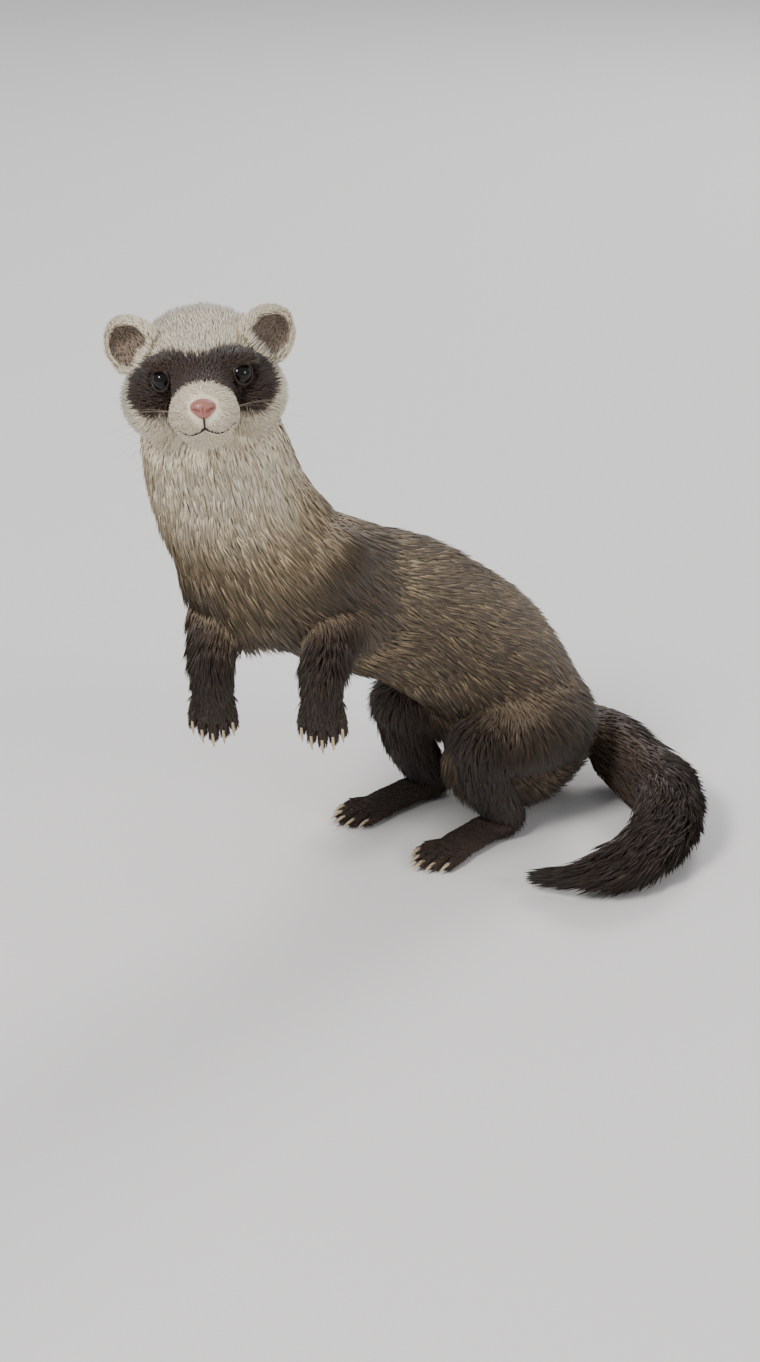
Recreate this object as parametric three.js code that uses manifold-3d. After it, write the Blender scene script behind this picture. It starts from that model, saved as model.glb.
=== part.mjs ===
// A ferret sitting up on its haunches, at life size, as a still model.
// Millimetres, +Z up, the floor at z = 0. The face looks along -Y, and +X is the animal's left.
import * as THREE from "three";
import { mergeVertices } from "three/addons/utils/BufferGeometryUtils.js";
import Module from "manifold-3d";

const wasm = await Module();
wasm.setup();

// Driving dimensions
const GAP = 0.3; // between two solids that touch
const HEAD_AT = [-69, -30, 229]; // middle of the skull, between the ears
const HEAD_PITCH = 5; // degrees that the nose points above level
const HEAD_YAW = 4; // degrees that the face turns to its left
const HEAD_ROLL = 3.5; // degrees that the left ear is lifted
const EYE_RADIUS = 4.3;
const EYE_AT = [14, -14, 4.4]; // the left eye, in the head's own frame
const EAR_AT = [25, 6, 14];
const EAR_SIZE = [11.2, 6.4, 11.8]; // half width, depth and height of the cup
const HIND_HEADING = 220; // degrees from +X, the way that the hips face
const FORE_HEADING = 262; // degrees from +X, the way that the chest faces
const TAIL_CURL_AT = [82, 42];
const TAIL_CURL = [41, 54]; // half width and half length of the oval that the tail curls on
const TAIL_CORE_RADIUS = 9;
const TAIL_FUR_RADIUS = 18;
const TAIL_TIP_FUR = 26; // length of the hair past the end of the tail's core

// Mesh sizes: the edge of a grid cell
const TRUNK_CELL = 11.8;
const THIGH_CELL = 8.8;
const ARM_CELL = 6.2;
const HEAD_CELL = 5.4;

// Vectors
const V = (p) => new THREE.Vector3(...p);
const degrees = THREE.MathUtils.degToRad;
const heading = (angle) => [Math.cos(degrees(angle)), Math.sin(degrees(angle)), 0];
const leftOf = (angle) => heading(angle + 90);
const mix = (a, b, t) => a + (b - a) * t;
// A point from an origin, so far forward, to the left and up.
const from = (origin, angle, forward, left, up) => {
  const f = heading(angle);
  const l = leftOf(angle);
  return [0, 1, 2].map((i) => origin[i] + f[i] * forward + l[i] * left + (i === 2 ? up : 0));
};

// The stations' numbers at t, from 0 at the first station to 1 at the last, on a smooth curve through all.
function along(stations, t) {
  const last = stations.length - 1;
  const i = Math.min(Math.floor(t * last), last - 1);
  const u = t * last - i;
  const [a, b, c, d] = [-1, 0, 1, 2].map((k) => stations[THREE.MathUtils.clamp(i + k, 0, last)]);
  return b.map((_, n) => {
    const slopeB = (c[n] - a[n]) / 2;
    const slopeC = (d[n] - b[n]) / 2;
    const rise = c[n] - b[n];
    const bend = 3 * rise - 2 * slopeB - slopeC;
    return b[n] + u * (slopeB + u * (bend + u * (slopeB + slopeC - 2 * rise)));
  });
}

// Fields: each tells about how far a point [x, y, z] lies outside a form, and is below 0 inside it.
// A round tube through stations [x, y, z, radius].
function tube(stations, steps = 8 * (stations.length - 1)) {
  const rings = Array.from({ length: steps + 1 }, (_, i) => along(stations, i / steps));
  return (p) => {
    let least = Infinity;
    for (let i = 0; i < steps; i++) {
      const [ax, ay, az, ar] = rings[i];
      const [bx, by, bz, br] = rings[i + 1];
      const [dx, dy, dz] = [bx - ax, by - ay, bz - az];
      const [qx, qy, qz] = [p[0] - ax, p[1] - ay, p[2] - az];
      const s = THREE.MathUtils.clamp((qx * dx + qy * dy + qz * dz) / (dx * dx + dy * dy + dz * dz), 0, 1);
      least = Math.min(least, Math.hypot(qx - s * dx, qy - s * dy, qz - s * dz) - mix(ar, br, s));
    }
    return least;
  };
}

// An ellipsoid whose axes may be turned by a matrix.
function ellipsoid(centre, radii, turn = new THREE.Matrix4()) {
  const back = turn.clone().setPosition(...centre).invert();
  const q = new THREE.Vector3();
  return (p) => {
    q.set(...p).applyMatrix4(back);
    const near = Math.hypot(q.x / radii[0], q.y / radii[1], q.z / radii[2]);
    const slope = Math.hypot(q.x / radii[0] ** 2, q.y / radii[1] ** 2, q.z / radii[2] ** 2);
    return slope < 1e-9 ? -Math.min(...radii) : (near * (near - 1)) / slope;
  };
}

// Forms that run into one another over a soft width.
const blend = (soft, ...fields) => (p) =>
  fields
    .map((field) => field(p))
    .reduce((a, b) => Math.min(a, b) - Math.max(soft - Math.abs(a - b), 0) ** 2 / (4 * soft));

// Surfaces: a closed mesh of the field's surface, on a grid of cells, and the same mesh grown by the gap.
// The grid moves on by a part of a cell until no two faces share an edge in the same direction.
function surface(level, low, high, cell) {
  for (let shift = 0; shift < 1; shift += 0.09) {
    const start = low.map((v) => v - shift * cell);
    const { points, triangles } = gridMesh(level, start, high, cell);
    const edges = new Set(triangles.map((a, i) => `${a} ${triangles[i % 3 === 2 ? i - 2 : i + 1]}`));
    if (edges.size < triangles.length) continue;
    const outside = points.map((p) => V(p).addScaledVector(V(slopeAt(level, p)).normalize(), 1.2 * GAP).toArray());
    return { solid: solidFrom(points.flat(), triangles), grown: solidFrom(outside.flat(), triangles) };
  }
  throw new Error("no grid gives a closed mesh");
}
function gridMesh(level, low, high, cell) {
  const count = low.map((v, i) => Math.ceil((high[i] - v) / cell) + 2);
  const at = (i, j, k) => [low[0] + (i - 1) * cell, low[1] + (j - 1) * cell, low[2] + (k - 1) * cell];
  const id = (i, j, k) => (k * count[1] + j) * count[0] + i;
  const values = new Float32Array(count[0] * count[1] * count[2]);
  for (let k = 0; k < count[2]; k++)
    for (let j = 0; j < count[1]; j++)
      for (let i = 0; i < count[0]; i++) {
        const rim = !i || !j || !k || i === count[0] - 1 || j === count[1] - 1 || k === count[2] - 1;
        values[id(i, j, k)] = rim ? cell : level(at(i, j, k));
      }
  const corners = [0, 1, 2, 3, 4, 5, 6, 7].map((c) => [c & 1, (c >> 1) & 1, c >> 2]);
  const edges = [];
  corners.forEach((a, n) =>
    corners.slice(n + 1).forEach((b) => {
      if (a.reduce((sum, v, i) => sum + Math.abs(v - b[i]), 0) === 1) edges.push([a, b]);
    }),
  );
  const points = [];
  const cellPoint = new Map();
  for (let k = 0; k < count[2] - 1; k++)
    for (let j = 0; j < count[1] - 1; j++)
      for (let i = 0; i < count[0] - 1; i++) {
        const sum = [0, 0, 0, 0];
        for (const [a, b] of edges) {
          const va = values[id(i + a[0], j + a[1], k + a[2])];
          const vb = values[id(i + b[0], j + b[1], k + b[2])];
          if (va < 0 === vb < 0) continue;
          const s = va / (va - vb);
          for (let n = 0; n < 3; n++) sum[n] += mix(a[n], b[n], s);
          sum[3] += 1;
        }
        if (!sum[3]) continue;
        const p = at(i + sum[0] / sum[3], j + sum[1] / sum[3], k + sum[2] / sum[3]);
        cellPoint.set(id(i, j, k), points.push(settle(level, p, cell)) - 1);
      }
  const triangles = [];
  const axes = [
    [1, 0, 0],
    [0, 1, 0],
    [0, 0, 1],
  ];
  for (let k = 1; k < count[2] - 1; k++)
    for (let j = 1; j < count[1] - 1; j++)
      for (let i = 1; i < count[0] - 1; i++)
        axes.forEach((axis, n) => {
          const here = values[id(i, j, k)] < 0;
          if (here === values[id(i + axis[0], j + axis[1], k + axis[2])] < 0) return;
          const [u, v] = [axes[(n + 1) % 3], axes[(n + 2) % 3]];
          const shift = (n, s, t) => s * u[n] + t * v[n];
          const ring = [
            [0, 0],
            [1, 0],
            [1, 1],
            [0, 1],
          ].map(([s, t]) => cellPoint.get(id(i - shift(0, s, t), j - shift(1, s, t), k - shift(2, s, t))));
          if (!here) ring.reverse();
          const [a, b, c, d] = ring;
          const across = V(points[a]).distanceTo(V(points[c])) < V(points[b]).distanceTo(V(points[d]));
          triangles.push(...(across ? [a, b, c, a, c, d] : [b, c, d, b, d, a]));
        });
  return { points, triangles };
}

function slopeAt(level, p) {
  const h = 0.05;
  const value = level(p);
  return [0, 1, 2].map((n) => (level(p.map((v, m) => (m === n ? v + h : v))) - value) / h);
}

// A point moved onto the field's surface, by at most half a cell.
function settle(level, start, cell) {
  let p = start;
  for (let pass = 0; pass < 3; pass++) {
    const value = level(p);
    const slope = slopeAt(level, p);
    const steep = Math.max(slope.reduce((sum, v) => sum + v * v, 0), 0.3);
    p = p.map((v, n) => v - (slope[n] * value) / steep);
  }
  const moved = p.map((v, n) => v - start[n]);
  const share = Math.min(1, (0.5 * cell) / Math.max(Math.hypot(...moved), 1e-6));
  return start.map((v, n) => v + moved[n] * share);
}

// Solids for joining and cutting
function solidFrom(positions, triangles) {
  return new wasm.Manifold(
    new wasm.Mesh({
      numProp: 3,
      vertProperties: new Float32Array(positions),
      triVerts: new Uint32Array(triangles),
    }),
  );
}
function solidOf(geometry) {
  const bare = geometry.clone();
  bare.deleteAttribute("normal");
  bare.deleteAttribute("uv");
  const merged = mergeVertices(bare, 1e-4);
  return solidFrom(merged.attributes.position.array, merged.index.array);
}
function geometryOf(solid) {
  const mesh = solid.getMesh();
  const geometry = new THREE.BufferGeometry();
  geometry.setAttribute("position", new THREE.BufferAttribute(mesh.vertProperties.slice(), 3));
  geometry.setIndex(new THREE.BufferAttribute(mesh.triVerts.slice(), 1));
  const flat = geometry.toNonIndexed();
  flat.computeVertexNormals();
  return flat;
}
const union = (solids) => solids.reduce((a, b) => a.add(b));
const biggest = (solid) => solid.decompose().sort((a, b) => b.volume() - a.volume())[0];

// The side of a plane that its normal points to, as a large block.
function beyond(point, normal) {
  const size = 600;
  const block = new THREE.BoxGeometry(size, size, size).translate(0, 0, size / 2);
  const turn = new THREE.Quaternion().setFromUnitVectors(new THREE.Vector3(0, 0, 1), V(normal).normalize());
  return solidOf(block.applyQuaternion(turn).translate(...point));
}
const above = beyond([0, 0, 0], [0, 0, 1]); // the floor

// A closed solid through rings along a path: each ring is [centre, half width, half thickness].
// flatUp is the way that the thin side faces. The first and last rings close on a point.
function loft(rings, flatUp, sides = 6) {
  const positions = [];
  const last = rings.length - 1;
  const points = [];
  rings.forEach(([centre, wide, thick], i) => {
    const ahead = V(rings[Math.min(i + 1, last)][0]).sub(V(rings[Math.max(i - 1, 0)][0])).normalize();
    const side = new THREE.Vector3().crossVectors(ahead, V(flatUp)).normalize();
    const up = new THREE.Vector3().crossVectors(side, ahead);
    const round = i === 0 || i === last ? 1 : sides;
    for (let s = 0; s < round; s++) {
      const angle = (2 * Math.PI * s) / sides;
      const reach = round === 1 ? 0 : 1;
      points.push(
        V(centre)
          .addScaledVector(side, reach * wide * Math.cos(angle))
          .addScaledVector(up, reach * thick * Math.sin(angle)),
      );
    }
  });
  points.forEach((p) => positions.push(p.x, p.y, p.z));
  const triangles = [];
  const ring = (i, s) => 1 + (i - 1) * sides + (s % sides);
  for (let s = 0; s < sides; s++) {
    triangles.push(0, ring(1, s), ring(1, s + 1));
    for (let i = 1; i < last - 1; i++) {
      triangles.push(ring(i, s), ring(i + 1, s), ring(i + 1, s + 1));
      triangles.push(ring(i, s), ring(i + 1, s + 1), ring(i, s + 1));
    }
    triangles.push(points.length - 1, ring(last - 1, s + 1), ring(last - 1, s));
  }
  const solid = solidFrom(positions, triangles);
  if (solid.volume() >= 0) return solid;
  for (let i = 0; i < triangles.length; i += 3) [triangles[i], triangles[i + 1]] = [triangles[i + 1], triangles[i]];
  return solidFrom(positions, triangles);
}

// Seeded numbers from 0 to 1, for the small differences between locks
let seed = 7;
const random = () => {
  seed = (seed * 16807) % 2147483647;
  return seed / 2147483647;
};

// Trunk: stations down the spine, from the root of the tail to the nape
const SPINE = [
  [80, 96, 30, 13],
  [61, 83, 42, 32],
  [39, 62, 79, 34.5],
  [10, 38, 108, 34],
  [-19, 14, 127, 33],
  [-43, -1, 145, 33],
  [-59, -8, 170, 33],
  [-67, -11, 198, 31.5],
  [-69, -12, 219, 28.5],
];
const HIPS_AT = SPINE[1].slice(0, 3);
const SHOULDERS_AT = SPINE[5].slice(0, 3);
const turnTo = (angle) => new THREE.Matrix4().makeRotationZ(degrees(angle));
const trunk = blend(
  14,
  tube(SPINE),
  ellipsoid([57, 79, 27], [38, 29, 29], turnTo(HIND_HEADING)),
  ellipsoid([-51, -11, 152], [28, 23, 34], turnTo(FORE_HEADING - 270)),
);

// Head, in its own frame: x to its left, the nose towards -y, z up
const headFrame = new THREE.Matrix4()
  .makeRotationZ(degrees(HEAD_YAW))
  .multiply(new THREE.Matrix4().makeRotationX(degrees(-HEAD_PITCH)))
  .multiply(new THREE.Matrix4().makeRotationY(degrees(-HEAD_ROLL)))
  .setPosition(...HEAD_AT);
const pair = (form) => [form(1), form(-1)];
const headForm = blend(
  7,
  ellipsoid([0, 14, 5], [26.5, 27, 21]),
  ellipsoid([0, -4, 7], [18, 18, 13]),
  ellipsoid([0, -18, 1], [11, 18, 9]),
  ellipsoid([0, -27, -5], [10.5, 13, 8.5]),
  ...pair((side) => ellipsoid([5.8 * side, -31, -6.8], [6.6, 8.2, 6.2])),
  ellipsoid([0, -18, -14.5], [10, 16, 7]),
  ...pair((side) => ellipsoid([19 * side, 3, -6], [13, 19, 15])),
);
const headInverse = headFrame.clone().invert();
const head = (p) => headForm(V(p).applyMatrix4(headInverse).toArray());
const onHead = (p) => V(p).applyMatrix4(headFrame).toArray();
const headWay = (p) => V(p).transformDirection(headFrame).toArray();
const inHead = (geometry) => solidOf(geometry.applyMatrix4(headFrame));
const HEAD_LOW = [-114, -90, 188];
const HEAD_HIGH = [-24, 24, 272];
const { solid: headFlesh, grown: headGrown } = surface(head, HEAD_LOW, HEAD_HIGH, HEAD_CELL);

// A point of the head's own frame, moved along y onto the head's surface and then out by some millimetres.
function faceAt(x, z, out) {
  let y = -60;
  for (let pass = 0; pass < 40; pass++) y += 0.7 * Math.max(headForm([x, y, z]), 0);
  return onHead([x, y - out, z]);
}

const EYE_WAY = new THREE.Vector3(0.6, -0.78, 0.16).normalize();
function eyeball(side, grown = 0) {
  const ball = new THREE.SphereGeometry(EYE_RADIUS + grown, 12, 9);
  return inHead(ball.translate(EYE_AT[0] * side, EYE_AT[1], EYE_AT[2]));
}
function lids(side) {
  const ring = new THREE.TorusGeometry(4.1, 1.35, 5, 12).scale(1.12, 0.95, 1);
  const way = new THREE.Vector3(EYE_WAY.x * side, EYE_WAY.y, EYE_WAY.z);
  ring.applyQuaternion(new THREE.Quaternion().setFromUnitVectors(new THREE.Vector3(0, 0, 1), way));
  return inHead(ring.translate(...V(EYE_AT).multiply(new THREE.Vector3(side, 1, 1)).addScaledVector(way, 2.1)));
}

// The line of the mouth: from under the nose down, out and up to the corner on one side
function mouthLine(side) {
  const rings = [];
  const steps = 6;
  for (let i = 0; i <= steps; i++) {
    const t = i / steps;
    const x = side * (0.4 + 11.6 * t);
    const z = -9.6 - 2.6 * Math.sin(Math.PI * Math.min(1, 1.15 * t) * 0.8) + 1.6 * t * t;
    const size = Math.min(1, 3 * (1 - t), 0.5 + 3 * t);
    rings.push([faceAt(x, z, 0.2), 0.6 * size, 1.5 * size]);
  }
  return loft(rings, headWay([0, -1, 0]), 4);
}
function philtrum() {
  const rings = [-4.5, -5.5, -8.6, -10.2].map((z) => [faceAt(0, z, 0.2), 0.45, 1.2]);
  return loft(rings, headWay([0, -1, 0]), 4);
}

const NOSE_AT = [0, -38.6, -2.3];
function nose() {
  const pad = new THREE.SphereGeometry(1, 12, 8).scale(4.9, 3.9, 3.5).translate(...NOSE_AT);
  const nostrils = pair((side) => {
    const hollow = new THREE.SphereGeometry(1, 6, 5).scale(1.25, 1.8, 0.85).rotateY(side * 0.5);
    return inHead(hollow.translate(NOSE_AT[0] + side * 2.35, NOSE_AT[1] - 3.3, NOSE_AT[2] - 0.6));
  });
  return biggest(inHead(pad).subtract(union(nostrils)).subtract(headGrown));
}

function ear(side) {
  const [wide, deep, high] = EAR_SIZE;
  const outer = new THREE.SphereGeometry(1, 13, 8).scale(wide, deep, high);
  const hollow = new THREE.SphereGeometry(1, 13, 8).scale(wide - 2.1, deep - 0.5, high - 2.2);
  hollow.translate(0, -2.9, 0.2);
  const place = (shape) =>
    inHead(
      shape
        .rotateX(degrees(-8))
        .rotateZ(degrees(24 * side))
        .rotateY(degrees(34 * side))
        .translate(EAR_AT[0] * side, EAR_AT[1], EAR_AT[2]),
    );
  return biggest(place(outer).subtract(place(hollow)).subtract(headGrown));
}

function headSolid() {
  const cut = [...pair((side) => eyeball(side, GAP)), ...pair(mouthLine), philtrum()];
  return biggest(union([headFlesh, ...pair(lids)]).subtract(union(cut)));
}

// Legs: stations [forward, left, up, radius] from the hips or the shoulders, for the left leg
const station = (origin, angle, side) => ([forward, left, up, radius]) => [
  ...from(origin, angle, forward, left * side, up),
  radius,
];
const HIND_LEG = [
  [4, 21, 4, 18.5],
  [26, 24.5, 8, 19],
  [47, 26.5, 9, 14.5],
  [45, 26, -9, 12],
  [33, 25, -32, 9.5],
];
const FORELEG = [
  [12, 22, 10, 14],
  [2, 24.5, -4, 14],
  [-9, 24, -16, 11.5],
  [11, 23.5, -20, 11],
  [28, 22.5, -29, 9.2],
  [33, 22, -39, 8.2],
];
// The upper and the lower half meet at the third station, the knee or the elbow.
function legField(stations, soft) {
  return blend(soft, tube(stations.slice(0, 3), 10), tube(stations.slice(2), 10));
}
const hindLeg = (side) => legField(HIND_LEG.map(station(HIPS_AT, HIND_HEADING, side)), 7);
const foreleg = (side) => legField(FORELEG.map(station(SHOULDERS_AT, FORE_HEADING, side)), 5);

// A box round a tube's stations, for the grid
function boxRound(stations, margin = 3) {
  const low = [0, 1, 2].map((n) => Math.min(...stations.map((s) => s[n] - s[3])) - margin);
  const high = [0, 1, 2].map((n) => Math.max(...stations.map((s) => s[n] + s[3])) + margin);
  return [low, high];
}

// A foot: rings [ahead, half width, half thickness, lift] down the foot, then five toes with claws.
function foot({ at, ahead, top, rings, toes, claw }) {
  const [forward, up] = [V(ahead).normalize(), V(top).normalize()];
  const side = new THREE.Vector3().crossVectors(up, forward);
  const place = (f, s, u) =>
    V(at).addScaledVector(forward, f).addScaledVector(side, s).addScaledVector(up, u).toArray();
  const body = loft(
    rings.map(([f, wide, thick, lift]) => [place(f, 0, lift), wide, thick]),
    top,
    10,
  );
  const pieces = toes.flatMap(([f, s, length, radius]) => {
    const spread = s * 0.28;
    const on = (share, u) => place(f + length * share, s + spread * share, u);
    const toe = [
      [on(-0.5, -0.4), 0, 0],
      [on(-0.3, -0.5), radius, radius],
      [on(0.45, -0.4), radius * 1.1, radius * 1.05],
      [on(0.85, -1.1), radius * 0.95, radius * 0.85],
      [on(1.05, -1.5), 0, 0],
    ];
    const nail = [0, 0.25, 0.55, 0.85, 1.05].map((share, i) => [
      place(f + length + claw * (share - 0.25), s + spread, 0.9 - 2.6 * share * share),
      [0, 1.05, 0.85, 0.5, 0][i],
      [0, 1.15, 0.9, 0.5, 0][i],
    ]);
    return [loft(toe, top, 6), loft(nail, top, 4)];
  });
  return union([body, ...pieces]);
}
const HIND_TOES = [
  [22, -7.2, 11, 2.9],
  [24, -3.8, 14, 3],
  [25, 0, 15, 3],
  [24, 3.8, 14, 3],
  [22, 7.2, 11, 2.9],
];
const FORE_TOES = [
  [7, -6.4, 9, 2.7],
  [9, -3.4, 10.5, 2.8],
  [10, 0, 11, 2.8],
  [9, 3.4, 10.5, 2.8],
  [7, 6.4, 9, 2.7],
];
const hindFoot = (side) =>
  foot({
    at: from(HIPS_AT, HIND_HEADING, 43, 25 * side, 3.3 - HIPS_AT[2]),
    ahead: heading(HIND_HEADING + 3 * side),
    top: [0, 0, 1],
    rings: [
      [-23, 0, 0, 3.5],
      [-20, 6, 5.5, 3.5],
      [-10, 7.4, 7, 3],
      [6, 8, 6, 1.6],
      [20, 9.6, 5, 0.4],
      [27, 8.6, 4, -0.4],
      [30, 0, 0, -0.4],
    ],
    toes: HIND_TOES,
    claw: 6.5,
  });
const forePaw = (side) =>
  foot({
    at: from(SHOULDERS_AT, FORE_HEADING, 33, 22 * side, -40),
    ahead: [0, -0.22, -1],
    top: [heading(FORE_HEADING)[0], heading(FORE_HEADING)[1], 0.2],
    rings: [
      [-6, 0, 0, 0],
      [-3, 6.4, 5.6, 0],
      [4, 7.6, 5.4, 0],
      [11, 8.4, 4.8, 0],
      [15, 0, 0, 0],
    ],
    toes: FORE_TOES,
    claw: 6,
  });

// Tail: the middle line, with a length from its root, on half an oval that sinks to the floor
const TAIL_START = 93; // degrees round the oval at the root
const TAIL_TURN = 190; // degrees round the oval that the tail takes
const TAIL_STEPS = 200;
const tailAngle = (step) => degrees(TAIL_START - (TAIL_TURN * step) / TAIL_STEPS);
const tailMarks = [0]; // length along the oval at each step
for (let i = 1; i <= TAIL_STEPS; i++) {
  const [a, b] = [tailAngle(i - 1), tailAngle(i)];
  const across = TAIL_CURL[0] * (Math.cos(b) - Math.cos(a));
  tailMarks.push(tailMarks[i - 1] + Math.hypot(across, TAIL_CURL[1] * (Math.sin(b) - Math.sin(a))));
}
const TAIL_LENGTH = tailMarks[TAIL_STEPS];
function tailFrame(length) {
  const on = THREE.MathUtils.clamp(length, 0, TAIL_LENGTH);
  const i = Math.min(tailMarks.findLastIndex((mark) => mark <= on), TAIL_STEPS - 1);
  const angle = tailAngle(i + (on - tailMarks[i]) / (tailMarks[i + 1] - tailMarks[i]));
  const [across, ahead] = [TAIL_CURL[0] * Math.sin(angle), -TAIL_CURL[1] * Math.cos(angle)];
  const way = new THREE.Vector3(across, ahead, 0).normalize();
  const out = new THREE.Vector3(-way.y, way.x, 0);
  const drop = THREE.MathUtils.smoothstep(on, 0, 45);
  const at = new THREE.Vector3(
    TAIL_CURL_AT[0] + TAIL_CURL[0] * Math.cos(angle),
    TAIL_CURL_AT[1] + TAIL_CURL[1] * Math.sin(angle),
    mix(SPINE[0][2], 0.9 * tailFur(on), drop),
  );
  at.addScaledVector(way, length - on);
  return { at, way, out, up: new THREE.Vector3(0, 0, 1) };
}
const tailCore = (length) => TAIL_CORE_RADIUS * (1 - 0.55 * THREE.MathUtils.smoothstep(length, 80, TAIL_LENGTH));
const tailFur = (length) => {
  const end = TAIL_LENGTH + TAIL_TIP_FUR;
  const swell = mix(0.82, 1, THREE.MathUtils.smoothstep(length, 0, 40));
  return TAIL_FUR_RADIUS * swell * Math.sqrt(Math.max(1 - THREE.MathUtils.smoothstep(length, 75, end + 6) ** 1.4, 0));
};
const tailPoint = (length, around, out) => {
  const { at, out: side, up } = tailFrame(length);
  const p = at.clone().addScaledVector(side, out * Math.cos(around)).addScaledVector(up, out * Math.sin(around));
  return p.toArray();
};
function tailTube(start, end, grown = 0) {
  const rings = 6;
  const stations = Array.from({ length: rings }, (_, i) => {
    const length = mix(start, end, i / (rings - 1));
    const radius = tailCore(length) + 1.2 * grown;
    return [tailFrame(length).at.toArray(), radius, radius];
  });
  const [first, last] = [tailFrame(start - 2 - grown), tailFrame(end + 2 + grown)];
  return loft([[first.at.toArray(), 0, 0], ...stations, [last.at.toArray(), 0, 0]], [0, 0, 1], 8);
}
// One lock: it leaves the core, bends back along the tail and ends on the fur's outline.
function lock({ root, around, length, wide, thick, twist }, grown = 0) {
  const steps = 3;
  const rings = [];
  for (let i = 0; i <= steps; i++) {
    const t = i / steps;
    const on = root + length * t + (i === steps ? grown : 0);
    const rise = Math.sin((Math.PI / 2) * t ** 0.8);
    const out = mix(tailCore(root) - 4, Math.max(tailFur(on) - thick * 0.4, 1.5), rise);
    const taper = i === 0 ? 0.8 : Math.sqrt(1 - t) * (1 - 0.25 * t);
    const p = tailPoint(on, around + twist * t * t, out);
    p[2] = Math.max(p[2], thick * taper + 0.05);
    rings.push([p, wide * taper + 1.5 * grown, thick * taper + 1.5 * grown]);
  }
  const mouth = rings[0];
  const inward = V(mouth[0]).lerp(tailFrame(root - 3).at, 0.3).toArray();
  const flat = V(tailPoint(root + length / 2, around, 30)).sub(tailFrame(root + length / 2).at);
  return loft([[inward, 0, 0], ...rings], flat.toArray(), 4);
}
const TIER_STEP = 19;
const locks = [];
for (let tier = 0; tier * TIER_STEP < TAIL_LENGTH - 4; tier++) {
  const root = 9 + tier * TIER_STEP;
  const count = Math.max(4, Math.round((tailFur(root + 10) / TAIL_FUR_RADIUS) * 8));
  for (let n = 0; n < count; n++)
    locks.push({
      root: root + 3 * (random() - 0.5),
      around: (2 * Math.PI * (n + 0.5 * (tier % 2) + 0.2 * (random() - 0.5))) / count,
      length: mix(28, 35, random()),
      wide: (Math.PI * tailFur(root + 10)) / count,
      thick: 1.8,
      twist: 0.35 * (random() - 0.5),
    });
}
const TAIL_CUTS = [0, TAIL_LENGTH / 3, (2 * TAIL_LENGTH) / 3, TAIL_LENGTH];
function tailSection(n) {
  const [start, end] = [TAIL_CUTS[n], TAIL_CUTS[n + 1]];
  let core = tailTube(start - (n ? 0 : 6), n === 2 ? end - 8 : end);
  const plane = (length, ahead) => {
    const { at, way } = tailFrame(length);
    return beyond(at.toArray(), way.clone().multiplyScalar(ahead).toArray());
  };
  if (n > 0) core = core.intersect(plane(start + GAP / 2, 1));
  if (n < 2) core = core.intersect(plane(end - GAP / 2, -1));
  const own = locks.filter(({ root }) => root >= start && root < end);
  const whole = union([core, ...own.map((one) => lock(one))]).intersect(above);
  if (n === 0) return biggest(whole);
  const coreBefore = tailTube(start - 30, start, GAP).intersect(plane(start + GAP / 2, -1));
  const locksBefore = locks.filter(({ root, length }) => root < start && root + length > start - 8);
  return biggest(whole.subtract(union([coreBefore, ...locksBefore.map((one) => lock(one, GAP))])));
}

// Nodes
const parts = new Map();
const SIDES = [
  ["left", 1],
  ["right", -1],
];
parts.set("head", headSolid());
parts.set("nose", nose());
for (const [word, side] of SIDES) {
  parts.set(`ear_${word}`, ear(side));
  parts.set(`eye_${word}`, eyeball(side));
}

let taken = headGrown;
for (const [word, side] of SIDES) {
  const legs = [
    ["foreleg", FORELEG.map(station(SHOULDERS_AT, FORE_HEADING, side)), foreleg(side), ARM_CELL, forePaw(side), "forepaw"],
    ["hind_leg", HIND_LEG.map(station(HIPS_AT, HIND_HEADING, side)), hindLeg(side), THIGH_CELL, hindFoot(side), "hind_foot"],
  ];
  for (const [name, stations, field, cell, end, endName] of legs) {
    const [low, high] = boxRound(stations);
    const leg = surface(field, low, high, cell);
    parts.set(`${name}_${word}`, biggest(leg.solid.intersect(above)));
    parts.set(`${endName}_${word}`, biggest(end.subtract(leg.grown).intersect(above)));
    taken = taken.add(leg.grown);
  }
}
["tail_base", "tail_middle", "tail_end"].forEach((name, n) => parts.set(name, tailSection(n)));
const firstLocks = locks.filter(({ root }) => root < TAIL_CUTS[1]);
taken = union([taken, tailTube(-6, TAIL_CUTS[1], GAP), ...firstLocks.map((one) => lock(one, GAP))]);

// The trunk, cut across the spine between stations
const [trunkLow, trunkHigh] = boxRound([...SPINE, [57, 79, 27, 40], [-49, -11, 150, 36]], 8);
let body = surface(trunk, trunkLow, trunkHigh, TRUNK_CELL).solid.intersect(above).subtract(taken);
for (const [name, share] of [
  ["rump", 0.235],
  ["loin", 0.43],
  ["chest", 0.68],
]) {
  const at = along(SPINE, share).slice(0, 3);
  const way = V(along(SPINE, share + 0.01).slice(0, 3)).sub(V(at)).normalize();
  const below = V(at).addScaledVector(way, -GAP / 2).toArray();
  const past = V(at).addScaledVector(way, GAP / 2).toArray();
  parts.set(name, biggest(body.subtract(beyond(below, way.toArray()))));
  body = biggest(body.intersect(beyond(past, way.toArray())));
}
parts.set("neck", body);

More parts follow.
